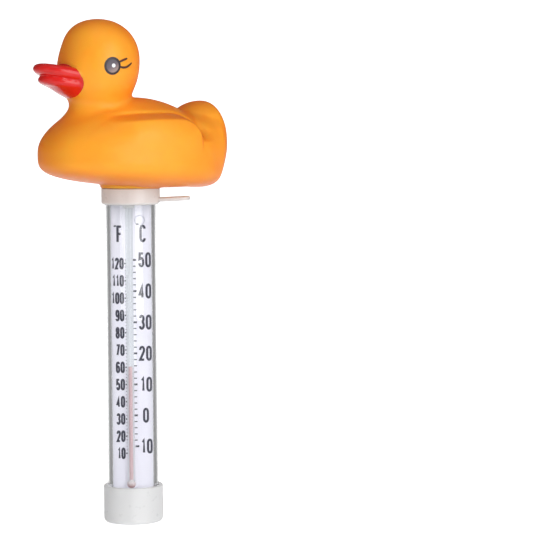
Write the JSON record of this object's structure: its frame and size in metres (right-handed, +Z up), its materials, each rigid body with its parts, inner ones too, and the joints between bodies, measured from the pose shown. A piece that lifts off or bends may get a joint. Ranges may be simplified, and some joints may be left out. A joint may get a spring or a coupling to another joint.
{
  "type": "floating pool thermometer",
  "caption": "Floating pool thermometer: a hollow duck float with an open red bill on a white collar with a lanyard eye, above a weighted clear tube holding a spirit thermometer and scale card.",
  "frame": {"origin": "centre of the bottom cap's flat rest face, on the tube's axis", "axes": "+Z up the tube; the scale faces -Y; the lanyard eye points along +X; the duck looks towards -X, turned 30 degrees to -Y"},
  "size_m": [0.0904, 0.0774, 0.238],
  "materials": {
    "duck_vinyl": "satin",
    "bill_paint": "gloss",
    "eye_print": "satin",
    "white_abs": "satin",
    "clear_plastic": "gloss",
    "seal_rubber": "matte",
    "soft_white": "matte",
    "steel": "satin",
    "card": "matte",
    "scale_ink": "matte",
    "stem_glass": "gloss",
    "red_spirit": "gloss"
  },
  "bodies": {
    "thermometer": {"duck_float": "duck_vinyl", "float_washer": "soft_white", "collar": "white_abs", "tube_gasket": "seal_rubber", "clear_tube": "clear_plastic", "bottom_cap": "white_abs", "cap_ring": "seal_rubber", "ballast_slug": "steel", "bulb_cradle": "soft_white", "stem_top_bush": "soft_white", "scale_card": "card", "thermometer_glass": "stem_glass", "spirit_fill": "red_spirit"},
    "spirit": {"spirit_column": "red_spirit"}
  },
  "joints": [
    {"name": "spirit_rise", "type": "slide", "parent": "thermometer", "child": "spirit", "axis": [0, 0, 1], "range_m": [-0.0385, 0.0504], "deforming": ["spirit_column"]}
  ]
}
